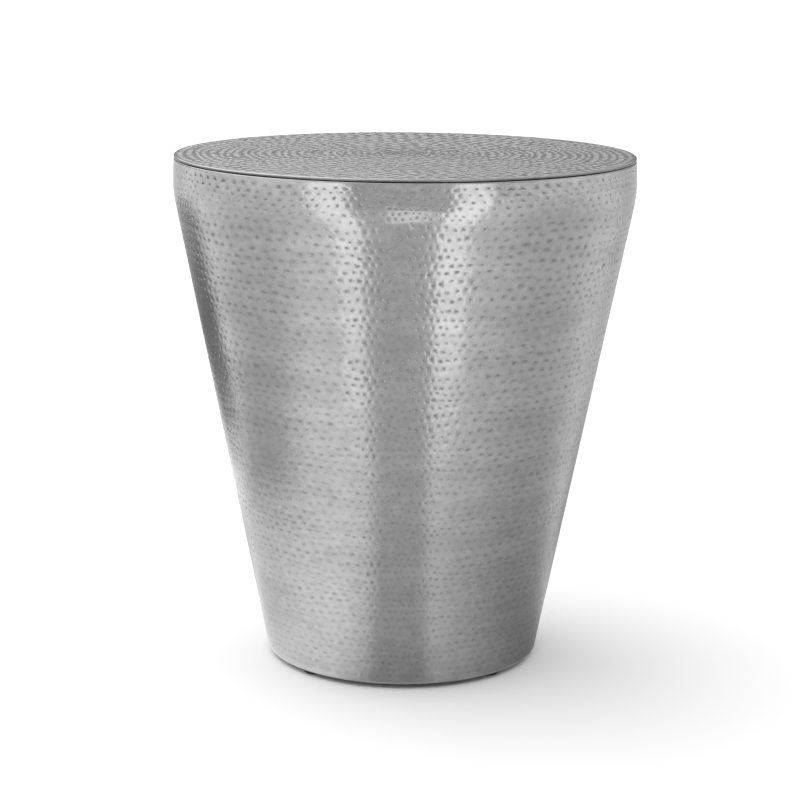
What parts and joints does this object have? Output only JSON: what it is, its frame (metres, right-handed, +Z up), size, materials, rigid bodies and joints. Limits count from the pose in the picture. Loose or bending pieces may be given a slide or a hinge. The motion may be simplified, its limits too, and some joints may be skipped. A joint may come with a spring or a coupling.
{
  "type": "drum side table",
  "caption": "Tapered round drum side table of hand-hammered sheet aluminium, with a flush round top on a hollow wall that narrows to its base.",
  "frame": {"origin": "on the floor under the middle of the table, in the plane of the glides' lower faces", "axes": "+Z up along the drum's axis, -Y towards the front, the wall's seam at +Y, +X to the right seen from the front"},
  "size_m": [0.4497, 0.4498, 0.5],
  "materials": {
    "hammered_aluminium": "hand-hammered, semi-polished",
    "strap_aluminium": "mill",
    "fibreboard": "raw, sanded",
    "clip_steel": "zinc plated",
    "screw_steel": "zinc plated",
    "glide_nylon": "moulded, matt"
  },
  "bodies": {
    "root": {"drum_shell": "hammered_aluminium", "seam_strap": "strap_aluminium", "top_sheet": "hammered_aluminium", "top_board": "fibreboard", "top_clip_1": "clip_steel", "top_clip_2": "clip_steel", "top_clip_3": "clip_steel", "top_clip_4": "clip_steel", "top_clip_5": "clip_steel", "top_clip_6": "clip_steel", "clip_screws": "screw_steel", "base_ring": "fibreboard", "glide_1": "glide_nylon", "glide_2": "glide_nylon", "glide_3": "glide_nylon", "glide_4": "glide_nylon", "glide_screws": "screw_steel"}
  },
  "joints": []
}
